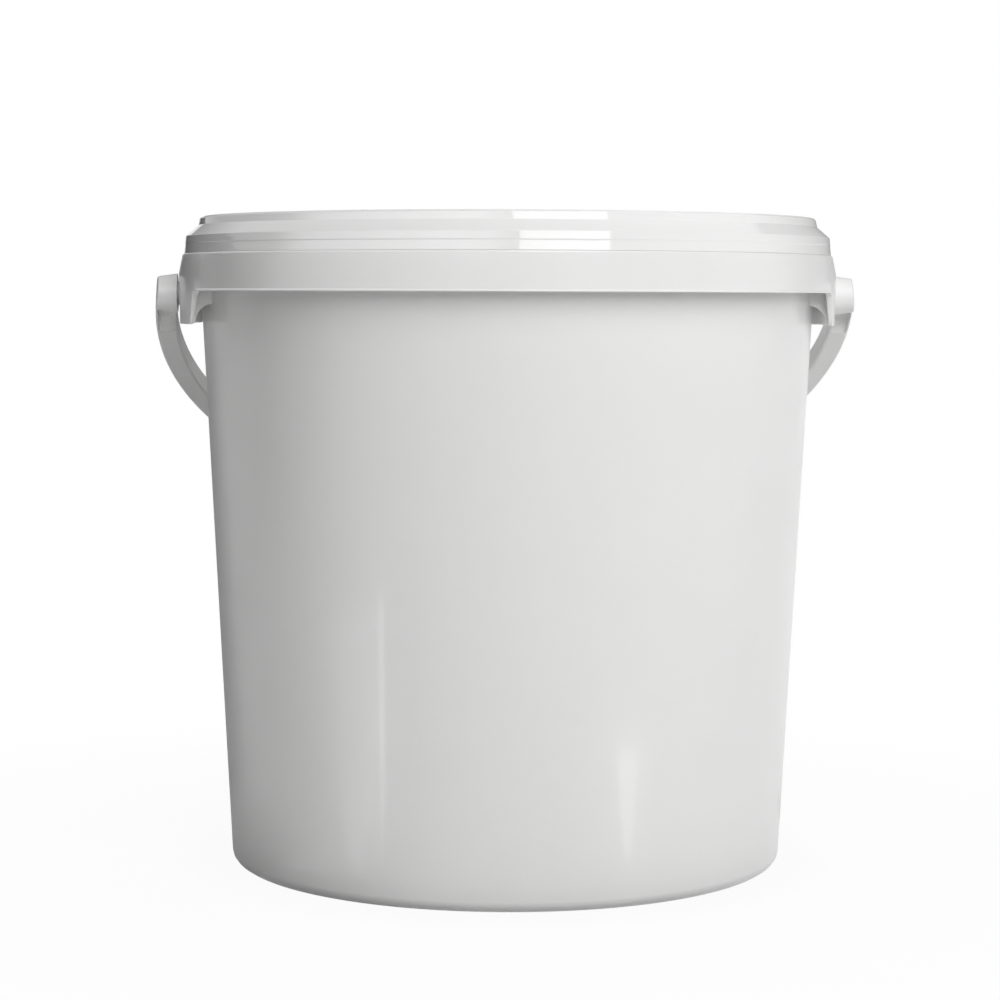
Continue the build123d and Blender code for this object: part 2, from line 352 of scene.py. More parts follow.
def pick(piece: Mesh, kind: Element, wanted: Callable[..., bool]) -> None:
    """Select only the faces or edges that a test wants.

    Args:
        piece: Piece in edit mode.
        kind: What the test is given.
        wanted: Test of one face or edge.
    """
    bpy.ops.mesh.select_mode(type=kind.name)
    bpy.ops.mesh.select_all(action="DESELECT")
    shape = bmesh.from_edit_mesh(piece.data)
    for element in getattr(shape, kind.value):
        element.select_set(wanted(element))
    bmesh.update_edit_mesh(piece.data)


def smooth(piece: Mesh) -> None:
    """Shade a piece smooth up to the crease angle, with flat faces kept flat.

    Args:
        piece: Finished piece.
    """
    take(piece)
    bpy.ops.object.shade_smooth_by_angle(angle=radians(CREASE))
    step = piece.modifiers.new("even normals", "WEIGHTED_NORMAL")
    step.keep_sharp = True
    bpy.ops.object.modifier_apply(modifier=step.name)


class Signal:
    """A number that varies over a surface, with arithmetic that adds nodes."""

    def __init__(self, graph: "Graph", socket: Socket) -> None:
        """Wrap one output socket of a graph."""
        self.graph = graph
        self.socket = socket

    def _with(self, operation: str, first: "Amount", second: "Amount") -> "Signal":
        """Result of one arithmetic node."""
        made = self.graph.node("ShaderNodeMath", {0: first, 1: second}, operation=operation)
        return Signal(self.graph, made.outputs[0])

    def __add__(self, other: "Amount") -> "Signal":
        """Sum."""
        return self._with("ADD", self, other)

    def __rsub__(self, other: float) -> "Signal":
        """Difference from a plain number on the left."""
        return self._with("SUBTRACT", other, self)

    def __mul__(self, other: "Amount") -> "Signal":
        """Product."""
        return self._with("MULTIPLY", self, other)

    __radd__ = __add__
    __rmul__ = __mul__

    def rise(self, low: float, high: float) -> "Signal":
        """Smooth step from 0 to 1.

        Args:
            low: Value up to which it is 0.
            high: Value from which it is 1.

        Returns:
            The step.
        """
        limits = {"Value": self, "From Min": low, "From Max": high}
        made = self.graph.node("ShaderNodeMapRange", limits, interpolation_type="SMOOTHSTEP")
        return Signal(self.graph, made.outputs["Result"])


Amount = Signal | Socket | float


class Graph:
    """Node tree of one finish, filled by expressions."""

    def __init__(self, tree: bpy.types.NodeTree) -> None:
        """Empty a tree and hold it."""
        self.tree = tree
        tree.nodes.clear()

    def feed(self, socket: Socket, value: object) -> None:
        """Link a signal or socket to an input, or set a plain value on it.

        Args:
            socket: Input to feed.
            value: Signal, socket or plain value.
        """
        if isinstance(value, Signal):
            value = value.socket
        if isinstance(value, Socket):
            self.tree.links.new(value, socket)
        else:
            socket.default_value = value

    def node(self, kind: str, sockets: dict | None = None, **settings: str) -> bpy.types.Node:
        """Add a node.

        Args:
            kind: Blender's name of the node type.
            sockets: Values or links for its inputs, by name or number.
            settings: Properties to set first.

        Returns:
            The new node.
        """
        made = self.tree.nodes.new(kind)
        for key, setting in settings.items():
            setattr(made, key, setting)
        for key, value in (sockets or {}).items():
            self.feed(made.inputs[key], value)
        return made

    def place(self) -> Socket:
        """Object coordinates, in metres."""
        return self.node("ShaderNodeTexCoord").outputs["Object"]

    def noise(self, place: Socket, scale: float, detail: float = 2.0) -> Signal:
        """Soft noise with a number of features to the metre."""
        made = self.node("ShaderNodeTexNoise", {"Vector": place, "Scale": scale, "Detail": detail})
        return Signal(self, made.outputs["Fac"])

    def tint(self, share: Amount, low: object, high: object) -> Socket:
        """Colour between two colours."""
        return self.node("ShaderNodeMix", {0: share, 6: low, 7: high}, data_type="RGBA").outputs[2]

    def show(self, shader: bpy.types.Node) -> None:
        """Make a shader the material's surface."""
        self.node("ShaderNodeOutputMaterial", {"Surface": shader.outputs[0]})

    def solid(self, height: Signal, sockets: dict) -> None:
        """Make a solid surface with a bump the material's surface.

        Args:
            height: Height of the bump, in millimetres.
            sockets: Values or links for the shader's other inputs.
        """
        bump = self.node("ShaderNodeBump", {"Height": height, "Distance": MM, "Strength": 1.0})
        self.show(self.node("ShaderNodeBsdfPrincipled", {**sockets, "Normal": bump.outputs["Normal"]}))


def rgba(colour: Triple) -> tuple[float, float, float, float]:
    """Opaque colour value for a socket."""
    return (*colour, 1.0)


def new_paint(name: str) -> tuple[Material, Graph]:
    """Make an empty material.

    Args:
        name: Name of the material.

    Returns:
        The material and the graph that fills it.
    """
    made = bpy.data.materials.new(name)
    made.use_nodes = True
    return made, Graph(made.node_tree)


@dataclass(frozen=True)
class Patches:
    """Soft patches over a surface: noise, and the range of it over which they fade in."""

    scale: Triple  # features to the metre along each axis
    detail: float
    low: float
    high: float

    def mask(self, graph: Graph, place: Socket) -> Signal:
        """1 on the patches and 0 between them."""
        scaled = graph.node("ShaderNodeMapping", {"Vector": place, "Scale": self.scale}).outputs["Vector"]
        return graph.noise(scaled, 1.0, self.detail).rise(self.low, self.high)


@dataclass(frozen=True)
class MouldedPlastic:
    """Glossy white polypropylene: faint clouding, flow lines, scuffs, specks and a fine peel."""

    name: str
    colour: Triple
    cloud_colour: Triple
    roughness: float = 0.285
    refraction: float = 1.49
    clouds: Patches = Patches((22.0, 22.0, 22.0), 3.0, 0.35, 0.7)
    flow: Patches = Patches((70.0, 70.0, 5.0), 3.0, 0.4, 0.75)
    scuffs: Patches = Patches((60.0, 60.0, 240.0), 4.0, 0.6, 0.8)
    cloud_share: float = 0.7  # of the change in colour; the flow lines make the rest
    wear: float = 0.3  # share that clouds and scuffs each add to the roughness
    peel_depth: float = 0.006  # millimetres
    peel_scale: float = 700.0  # features to the metre
    ripple_depth: float = 0.03
    ripple_scale: float = 45.0
    skin: float = 0.0  # weight of the sharper gloss from the mould's polish
    skin_roughness: float = 0.08
    speck_colour: Triple = (0.32, 0.31, 0.29)
    speck_cells: float = 150.0  # cells to the metre
    speck_share: float = 0.03  # share of the cells that hold a speck
    speck_step: float = 0.001  # how sharply those cells are told apart
    speck_radii: Point = (0.02, 0.07)  # of a speck's dark middle and its edge, in cells
    speck_strength: float = 0.6
    speck_roughness: float = 0.25

    def material(self) -> Material:
        """Build the finish.

        Returns:
            A new material.
        """
        made, graph = new_paint(self.name)
        place = graph.place()
        cloud, flow, scuff = (part.mask(graph, place) for part in (self.clouds, self.flow, self.scuffs))
        specks = self.specks(graph, place)
        share = self.cloud_share * cloud + (1.0 - self.cloud_share) * flow
        body = graph.tint(share, rgba(self.colour), rgba(self.cloud_colour))
        worn = self.roughness * (1.0 + self.wear * cloud + self.wear * scuff)
        ripple = self.ripple_depth * graph.noise(place, self.ripple_scale, 1.0)
        graph.solid(self.peel_depth * graph.noise(place, self.peel_scale) + ripple, {
            "Base Color": graph.tint(specks, body, rgba(self.speck_colour)),
            "Roughness": worn + self.speck_roughness * specks,
            "IOR": self.refraction, "Coat Weight": self.skin, "Coat Roughness": self.skin_roughness,
        })
        return made

    def specks(self, graph: Graph, place: Socket) -> Signal:
        """Tiny dark specks, one in a few of the cells.

        Args:
            graph: Graph of the material.
            place: Coordinates in metres.

        Returns:
            Mask of the specks.
        """
        cells = graph.node("ShaderNodeTexVoronoi", {"Vector": place, "Scale": self.speck_cells})
        near = 1.0 - Signal(graph, cells.outputs["Distance"]).rise(*self.speck_radii)
        lot = graph.node("ShaderNodeSeparateColor", {"Color": cells.outputs["Color"]}).outputs["Red"]
        least = 1.0 - self.speck_share
        return near * Signal(graph, lot).rise(least, least + self.speck_step) * self.speck_strength


@dataclass(frozen=True)
class SealElastomer:
    """Soft pale sealing ring with a dull, slightly dusty skin."""

    name: str
    colour: Triple
    dust_colour: Triple
    roughness: float = 0.55
    dust: Patches = Patches((260.0, 260.0, 260.0), 4.0, 0.4, 0.75)
    dust_roughness: float = 0.15
    skin_depth: float = 0.02  # millimetres
    skin_scale: float = 1500.0  # features to the metre

    def material(self) -> Material:
        """Build the finish.

        Returns:
            A new material.
        """
        made, graph = new_paint(self.name)
        place = graph.place()
        dust = self.dust.mask(graph, place)
        graph.solid(self.skin_depth * graph.noise(place, self.skin_scale), {
            "Base Color": graph.tint(dust, rgba(self.colour), rgba(self.dust_colour)),
            "Roughness": self.roughness + self.dust_roughness * dust,
        })
        return made


def deliver(piece: Mesh, finish: MouldedPlastic | SealElastomer, body: str, node: str) -> Mesh:
    """Shade and dress a modelled piece, and let it ride on a body in place of a node.

    Args:
        piece: Piece in object mode.
        finish: Finish all over it.
        body: Body that it moves with.
        node: Node that it stands for.

    Returns:
        The same piece.
    """
    smooth(piece)
    piece.data.materials.clear()
    piece.data.materials.append(finish.material())
    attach(piece, body)
    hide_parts(node)
    return piece


@dataclass
class Pail:
    """The pail's one moulding: base, wall, collar, rim, ears, gussets and ribs."""

    base_radius: float = 112.6
    wall_draft: float = 2.975
    wall: float = 1.7
    wall_row: float = 12.0
    base_corner: float = 4.8
    foot_width: float = 6.4
    foot_lift: float = 2.5
    floor: float = 2.0
    floor_corner: float = 3.0
    gate_radius: float = 6.0
    gate_depth: float = 0.6
    collar_height: float = 247.9
    collar_overhang: float = 6.6
    collar_depth: float = 15.05
    collar_flare: float = 0.73
    collar_web: float = 1.6
    skirt: float = 1.3
    lip_proud: float = 0.45  # thin lip along the skirt's lower edge
    lip_land: float = 0.45
    lip_slope: float = 0.5
    lip_round: float = 0.15
    collar_round: float = 0.8
    edge_round: float = 0.4
    fine_round: float = 0.25
    neck: float = 7.7
    bead_overhang: float = 2.2
    bead_height: float = 2.2
    bead_drop: float = 1.9
    rib_pitch: float = 15.0
    rib: float = 1.2
    rib_lift: float = 3.5
    ear_raise: float = 1.24
    ear_blend: float = 8.0
    ear_half_angle: float = 22.8
    ear_ramp_angle: float = 5.2
    ear_crease_angle: float = 0.12  # half width of the creases at both ends of the ramps
    ear_edge: float = 1.5
    pivot_drop: float = 0.85
    ear_reach: float = 12.2
    ear_draft: float = 0.4
    ear_top_half_width: float = 45.5
    ear_foot_half_width: float = 38.9
    ear_inside_round: float = 3.0
    ear_outside_round: float = 2.0
    tab_lead: float = 2.0  # degrees of close faces before a tab's slanting end
    tab_tail: float = 2.5  # and past it
    gusset_place: float = 36.5
    gusset: float = 1.6
    gusset_drop: float = 4.0
    gusset_foot: float = 1.2
    gusset_sweep: float = 7.7
    hole_radius: float = 4.8
    hole_depth: float = 8.0
    hole_sides: int = 64
    finish: MouldedPlastic = MouldedPlastic(
        "pail_white", colour=(0.83, 0.83, 0.825), cloud_colour=(0.815, 0.815, 0.81), skin=0.25)

    def __post_init__(self) -> None:
        """Work out the sizes that follow from the others."""
        self.collar_bottom = self.collar_height - self.collar_depth
        self.collar_radius = self.wall_radius(self.collar_height) + self.collar_overhang
        self.skirt_radius = self.collar_radius + self.collar_flare  # at the skirt's lower edge
        self.skirt_inside = self.skirt_radius - self.skirt
        self.lip_top = self.collar_bottom + self.lip_land + self.lip_slope
        self.blend_height = self.collar_height - self.ear_blend  # the ears run out into the collar above it
        self.rim_height = self.collar_height + self.neck
        self.ear_radius = self.collar_radius + self.collar_flare / 2 + self.ear_raise
        self.ear_end = self.ear_half_angle + self.ear_ramp_angle  # degrees from an ear's middle
        self.pivot_height = self.collar_bottom - self.pivot_drop
        self.ear_bottom = self.pivot_height - self.ear_reach
        self.bead_bottom = self.rim_height - self.bead_drop - self.bead_height
        self.bead_radius = self.wall_radius(self.rim_height - self.bead_drop) + self.bead_overhang

    def wall_radius(self, height: float) -> float:
        """Outer radius of the wall at a height."""
        return self.base_radius + height * tan(radians(self.wall_draft))

    def bore_radius(self, height: float) -> float:
        """Inner radius of the wall at a height."""
        return self.wall_radius(height) - self.wall

    def section(self) -> Outline:
        """Cross-section of base, wall, collar and rim.

        Returns:
            The outline, from the middle of the base round to the middle of the floor.
        """
        web_bottom = self.collar_height - self.collar_web
        floor_top = self.foot_lift + self.floor
        foot_inside = self.base_radius - self.base_corner - self.foot_width
        gate_top = self.foot_lift + self.gate_depth
        third = self.bead_height / 3
        bead_top = self.bead_bottom + self.bead_height
        fine = self.fine_round
        return Outline((
            Corner(0, gate_top),
            Corner(self.gate_radius, gate_top, fine),
            Corner(self.gate_radius, self.foot_lift, fine),
            Corner(foot_inside - self.foot_lift, self.foot_lift, self.edge_round),
            Corner(foot_inside, 0, self.edge_round),
            Corner(self.base_radius, 0, self.base_corner),
            *self.wall_rows(web_bottom),
            Corner(self.wall_radius(web_bottom), web_bottom, self.edge_round),
            Corner(self.collar_radius - self.skirt, web_bottom, self.edge_round),
            Corner(self.skirt_inside, self.collar_bottom, self.edge_round),
            Corner(self.skirt_radius, self.collar_bottom, self.lip_round),
            Corner(self.skirt_radius, self.collar_bottom + self.lip_land, self.lip_round),
            Corner(self.skirt_face(self.lip_top), self.lip_top),
            Corner(self.skirt_face(self.blend_height), self.blend_height),
            Corner(self.collar_radius, self.collar_height, self.collar_round),
            Corner(self.wall_radius(self.collar_height), self.collar_height, self.edge_round),
            Corner(self.wall_radius(self.bead_bottom), self.bead_bottom, fine),
            Corner(self.bead_radius, self.bead_bottom + third, fine),
            Corner(self.bead_radius, self.bead_bottom + 2 * third, fine),
            Corner(self.wall_radius(bead_top), bead_top, fine),
            Corner(self.wall_radius(self.rim_height), self.rim_height, self.edge_round),
            Corner(self.bore_radius(self.rim_height), self.rim_height, self.edge_round),
            Corner(self.bore_radius(floor_top), floor_top, self.floor_corner),
            Corner(0, floor_top),
        ), closed=False)

    def wall_rows(self, top: float) -> list[Corner]:
        """Even rows up the wall's outside, below a height."""
        rows = range(1, round(top / self.wall_row) + 1)
        return [Corner(self.wall_radius(h), h) for h in (top * row / (len(rows) + 1) for row in rows)]

    def skirt_face(self, height: float) -> float:
        """Radius of the skirt's outer face at a height."""
        flare = self.collar_flare - self.lip_proud
        return self.collar_radius + flare * (self.collar_height - height) / self.collar_depth

    def spans(self) -> list[Span]:
        """Faces round the pail, closer together at the edges of the ears.

        Returns:
            The stretches of a full turn from the middle of one ear.
        """
        tab_start = degrees(self.ear_foot_half_width / self.ear_radius) - self.tab_lead
        tab_end = degrees(self.ear_top_half_width / self.ear_radius) + self.tab_tail
        crease = Span(self.ear_crease_angle, 1)
        quarter = [
            Span(tab_start, 12),
            Span(tab_end - tab_start, 32),
            Span(self.ear_half_angle - tab_end - crease.angle, 2),
            crease,
            crease,
            Span(self.ear_ramp_angle - 2 * crease.angle, 8),
            crease,
            crease,
            Span(90 - self.ear_end - crease.angle, 62),
        ]
        return [*quarter, *reversed(quarter), *quarter, *reversed(quarter)]

    def tab_edge(self) -> list[Point]:
        """Lower edge of an ear from its middle outwards.

        Returns:
            Distances from the middle, with their heights.
        """
        reach = self.ear_radius
        edge = Outline((
            Corner(reach, self.collar_height),
            Corner(0, self.collar_height),
            Corner(0, self.ear_bottom),
            Corner(self.ear_foot_half_width, self.ear_bottom, self.ear_outside_round),
            Corner(self.ear_top_half_width, self.collar_bottom, self.ear_inside_round),
            Corner(reach, self.collar_bottom),
        ), arc_steps=8)
        return edge.points()[2:]

    def tab_drop(self, edge: Sequence[Point], distance: float) -> Point:
        """Course of an ear's lower edge.

        Args:
            edge: Points of the edge, from tab_edge.
            distance: Distance from the ear's middle.

        Returns:
            Height and slope of the edge there.
        """
        for here, there in zip(edge, edge[1:]):
            if distance <= there[0]:
                slope = (there[1] - here[1]) / (there[0] - here[0])
                return here[1] + slope * (distance - here[0]), slope
        return self.collar_bottom, 0.0

    def ear_face(self, height: float, angle: float) -> float:
        """Radius of an ear's raised face, which runs out upwards and to both sides.

        Args:
            height: Height on the ear.
            angle: Angle from the ear's middle, in degrees.

        Returns:
            The radius, which is inside the skirt beyond the ear's ends.
        """
        if height > self.blend_height:
            share = (self.collar_height - height) / self.ear_blend
            face = self.collar_radius + (self.ear_radius - self.collar_radius) * share
        else:
            share = (self.blend_height - height) / (self.blend_height - self.ear_bottom)
            face = self.ear_radius - self.ear_draft * share
        beyond = max(angle - self.ear_half_angle, 0.0) / self.ear_ramp_angle
        return min(face, self.ear_radius - self.ear_raise * beyond)

    def shape_ears(self, piece: Mesh) -> None:
        """Raise the ears' faces on the skirt and draw its lower edge down into the two tabs.

        Args:
            piece: Pail with a plain round skirt.
        """
        edge = self.tab_edge()
        for vertex in piece.data.vertices:
            x, y, height = vertex.co / MM
            radius = hypot(x, y)
            angle = degrees(atan2(abs(y), abs(x)))
            if radius < self.collar_radius - self.skirt or height > self.collar_height - self.edge_round:
                continue
            if height <= self.lip_top + MERGE:
                drop, slope = self.tab_drop(edge, radius * sin(radians(angle)))
                height = drop + (height - self.collar_bottom) * hypot(1, slope)
                lean = min((self.collar_bottom - drop) / (self.collar_bottom - self.ear_bottom), 1.0)
                spread = 1 + lean * self.lip_proud / (self.skirt - self.lip_proud)
                share = min((radius - self.skirt_inside) / self.skirt * spread, 1.0)
                lip = self.lip_proud * (1 - lean)
                tip = self.ear_radius - self.ear_draft - self.ear_edge
                inside = self.skirt_inside + (tip - self.skirt_inside) * lean
                outside = max(self.skirt_radius, self.ear_face(height, angle) + lip)
                moved = inside + share * (outside - inside)
            elif radius > self.skirt_face(height) - self.fine_round:
                moved = max(radius, self.ear_face(height, angle))
            else:
                continue
            vertex.co = Vector((x * moved / radius, y * moved / radius, height)) * MM

    def ribs(self) -> Mesh:
        """Upright ribs under the collar, left out behind the ears.

        Returns:
            All the ribs as one shape.
        """
        low = self.collar_bottom + self.rib_lift
        top = self.collar_height - self.collar_web / 2
        rib = slab("rib", Outline((
            Corner(self.wall_radius(low) - self.wall / 2, low),
            Corner(self.skirt_inside + self.skirt / 2, low),
            Corner(self.collar_radius - self.skirt / 2, top),
            Corner(self.wall_radius(top) - self.wall / 2, top),
        )), self.rib)
        places = [(step + 0.5) * self.rib_pitch for step in range(round(360 / self.rib_pitch))]
        wanted = [angle for angle in places if min(angle % 180, 180 - angle % 180) > self.ear_end]
        copies = [copy(rib, angle) for angle in wanted]
        bpy.data.objects.remove(rib, do_unlink=True)
        return gather(copies)

    def gussets(self) -> Mesh:
        """Four gussets between the wall and the ears, swept down along the ears.

        Returns:
            All the gussets as one shape.
        """
        def reach(radius: float) -> float:
            """Distance along X at which a gusset's middle plane meets a radius."""
            return sqrt(radius ** 2 - self.gusset_place ** 2)

        low = self.pivot_height - self.gusset_drop
        tip = self.ear_bottom + self.edge_round
        foot = reach(self.ear_radius - self.ear_draft - self.ear_edge) - self.gusset_foot
        top = self.collar_height - self.collar_web / 2
        outline = Outline((
            Corner(reach(self.wall_radius(low) - self.wall / 2), low),
            Corner(foot, low, self.gusset_sweep),
            Corner(foot, tip),
            Corner(reach(self.ear_radius - self.ear_draft - self.ear_edge / 2), tip),
            Corner(reach(self.skirt_inside + self.skirt / 2), self.collar_bottom),
            Corner(reach(self.collar_radius - self.skirt / 2), top),
            Corner(reach(self.wall_radius(top) - self.wall / 2), top),
        ), arc_steps=10)
        right = [slab("gusset", outline, self.gusset, side * self.gusset_place) for side in (-1, 1)]
        return gather([*right, *(copy(plate, flip=True) for plate in right)])

    def pin_holes(self) -> Mesh:
        """Cutters for the two holes that the handle's pins run in.

        Returns:
            Both cutters as one shape.
        """
        put_down()
        bpy.ops.mesh.primitive_cylinder_add(
            vertices=self.hole_sides, radius=self.hole_radius * MM, depth=self.hole_depth * MM,
            location=(self.ear_radius * MM, 0, self.pivot_height * MM), rotation=(0, pi / 2, 0),
        )
        hole = named("pin_hole")
        settle(hole)
        return gather([hole, copy(hole, flip=True)])

    def build(self) -> Mesh:
        """Model the pail and dress it.

        Returns:
            The finished piece.
        """
        piece = turn("pail_moulding", self.section(), self.spans())
        self.shape_ears(piece)
        combine(piece, self.ribs(), Join.ADD)
        combine(piece, self.gussets(), Join.ADD)
        combine(piece, self.pin_holes(), Join.CUT)
        return deliver(piece, self.finish, "pail", "bucket")


@dataclass
class Lid:
    """The lid's one moulding: stepped rim, snap edge, plug and recessed panel."""

    pail: Pail
    gap: float = 0.03
    setback: float = 0.55
    wall: float = 1.7
    lower_band_height: float = 3.15
    lower_band_lean: float = 0.35
    groove_height: float = 0.9
    groove_depth: float = 0.05
    upper_band_lean: float = 0.3
    shoulder_drop: float = 0.7
    shoulder_run: float = 5.0
    shoulder_rise: float = 4.3
    crown_run: float = 0.6
    crown_rise: float = 2.8
    crown_top_rise: float = 0.69
    crown_top_run: float = 0.7
    crown_width: float = 1.7
    rim_round: float = 0.1
    edge_round: float = 0.4
    fine_round: float = 0.2
    crown_round: float = 0.5
    panel_drop: float = 7.7
    panel: float = 1.8
    panel_corner: float = 1.5
    plug_wall: float = 1.7
    plug_depth: float = 8.6
    plug_clearance: float = 0.35
    plug_lead: float = 0.6
    snap_clearance: float = 0.35
    snap_gap: float = 0.5
    snap_step: float = 0.6
    stack_clearance: float = 1.2
    stack_ring_width: float = 1.8
    stack_ring_height: float = 2.0
    centre_radius: float = 96.0
    centre_rise: float = 1.4
    centre_slope: float = 3.0
    seal_height: float = 1.8
    seal_clearance: float = 0.2
    seal_side_clearance: float = 0.12
    seal_round: float = 0.1
    finish: MouldedPlastic = MouldedPlastic(
        "lid_white", colour=(0.86, 0.86, 0.855), cloud_colour=(0.845, 0.845, 0.84), roughness=0.045,
        flow=Patches((30.0, 30.0, 30.0), 3.0, 0.4, 0.75), ripple_depth=0.012)
    seal_finish: SealElastomer = SealElastomer(
        "seal_pale", colour=(0.72, 0.72, 0.70), dust_colour=(0.66, 0.66, 0.64))

    def __post_init__(self) -> None:
        """Work out the sizes that follow from the others."""
        self.bottom = self.pail.collar_height + self.gap
        self.radius = self.pail.collar_radius - self.setback  # of the lower edge
        self.shoulder_radius = self.radius - self.lower_band_lean - self.upper_band_lean  # at its foot
        self.shoulder_foot = self.pail.rim_height - self.shoulder_drop
        self.shoulder_length = hypot(self.shoulder_run, self.shoulder_rise)  # along its slope
        self.top = self.shoulder_foot + self.shoulder_rise + self.crown_rise + self.crown_top_rise
        self.roof = self.pail.rim_height + self.seal_clearance + self.seal_height  # of the seal's channel

    def channel_radius(self, height: float) -> float:
        """Inside of the sloping shoulder at a height."""
        foot_radius = self.shoulder_radius - self.wall * self.shoulder_length / self.shoulder_rise
        return foot_radius - (height - self.shoulder_foot) * self.shoulder_run / self.shoulder_rise

    def plug_radius(self, height: float) -> float:
        """Outside of the plug at a height."""
        return self.pail.bore_radius(height) - self.plug_clearance

    def under_side(self) -> list[Corner]:
        """Underside from the middle out to the lower edge.

        Returns:
            Corners of that part of the section.
        """
        panel_low = self.top - self.panel_drop - self.panel
        plug_bottom = self.pail.rim_height - self.plug_depth
        plug_inside = self.plug_radius(plug_bottom) - self.plug_wall
        bore = self.shoulder_radius - self.wall
        snap_top = self.pail.bead_bottom - self.snap_gap
        slope = self.shoulder_rise / self.shoulder_run
        channel_foot = self.shoulder_foot - (bore - self.channel_radius(self.shoulder_foot)) * slope
        fine = self.fine_round
        return [
            Corner(0, panel_low + self.centre_rise),
            Corner(self.centre_radius - self.panel / 2, panel_low + self.centre_rise, fine),
            Corner(self.centre_radius + self.centre_slope - self.panel / 2, panel_low, fine),
            Corner(plug_inside, panel_low, self.panel_corner),
            Corner(plug_inside, plug_bottom, fine),
            Corner(self.plug_radius(plug_bottom) - self.plug_lead, plug_bottom, fine),
            Corner(self.plug_radius(plug_bottom + self.plug_lead), plug_bottom + self.plug_lead, fine),
            Corner(self.plug_radius(self.roof), self.roof, fine),
            Corner(self.channel_radius(self.roof), self.roof, fine),
            Corner(bore, channel_foot, fine),
            Corner(bore, snap_top, fine),
            Corner(self.pail.bead_radius + self.snap_clearance, snap_top - self.snap_step, fine),
            Corner(self.radius - self.wall, self.bottom, fine),
        ]

    def rim_side(self) -> list[Corner]:
        """Stepped outer side from the lower edge up to the crown.

        Returns:
            Corners of that part of the section.
        """
        groove_bottom = self.bottom + self.lower_band_height
        third = self.groove_height / 3
        band = self.radius - self.lower_band_lean
        shoulder_top = self.shoulder_foot + self.shoulder_rise
        crown_foot_radius = self.shoulder_radius - self.shoulder_run
        crown_radius = crown_foot_radius - self.crown_run
        fine = self.fine_round
        return [
            Corner(self.radius, self.bottom, self.rim_round),
            Corner(band, groove_bottom, fine),
            Corner(band - self.groove_depth, groove_bottom + third),
            Corner(band - self.groove_depth, groove_bottom + 2 * third),
            Corner(band, groove_bottom + self.groove_height, fine),
            Corner(self.shoulder_radius, self.shoulder_foot, self.edge_round),
            Corner(crown_foot_radius, shoulder_top, self.edge_round),
            Corner(crown_radius, shoulder_top + self.crown_rise, self.crown_round),
            Corner(crown_radius - self.crown_top_run, self.top, self.crown_round),
        ]

    def panel_side(self) -> list[Corner]:
        """Top from the crown in to the middle of the panel.

        Returns:
            Corners of that part of the section.
        """
        panel_top = self.top - self.panel_drop
        crown = self.shoulder_radius - self.shoulder_run - self.crown_run - self.crown_top_run
        inside = crown - self.crown_width
        ring_inside = self.pail.base_radius + self.stack_clearance
        ring_outside = ring_inside + self.stack_ring_width
        ring_top = panel_top + self.stack_ring_height
        centre_top = panel_top + self.centre_rise
        gate_bottom = centre_top - self.pail.gate_depth
        fine = self.fine_round
        return [
            Corner(inside, self.top, self.crown_round),
            Corner(inside, panel_top, self.panel_corner),
            Corner(ring_outside, panel_top, self.edge_round),
            Corner(ring_outside, ring_top, self.crown_round),
            Corner(ring_inside, ring_top, self.crown_round),
            Corner(ring_inside, panel_top, self.edge_round),
            Corner(self.centre_radius + self.centre_slope, panel_top, self.edge_round),
            Corner(self.centre_radius, centre_top, self.edge_round),
            Corner(self.pail.gate_radius, centre_top, fine),
            Corner(self.pail.gate_radius, gate_bottom, fine),
            Corner(0, gate_bottom),
        ]

    def build(self) -> Mesh:
        """Model the lid and dress it.

        Returns:
            The finished piece.
        """
        outline = Outline((*self.under_side(), *self.rim_side(), *self.panel_side()), closed=False)
        piece = turn("lid_moulding", outline, FULL_TURN)
        return deliver(piece, self.finish, "cover", "lid")

    def build_seal(self) -> Mesh:
        """Model the sealing ring under the roof of the lid's channel and dress it.

        Returns:
            The finished piece.
        """
        foot = self.roof - self.seal_height
        gap = self.seal_side_clearance
        outline = Outline((
            Corner(self.plug_radius(foot) + gap, foot, self.seal_round),
            Corner(self.channel_radius(foot) - gap, foot, self.seal_round),
            Corner(self.channel_radius(self.roof) - gap, self.roof, self.seal_round),
            Corner(self.plug_radius(self.roof) + gap, self.roof, self.seal_round),
        ))
        piece = turn("lid_seal_ring", outline, FULL_TURN)
        return deliver(piece, self.seal_finish, "cover", "lid_seal")


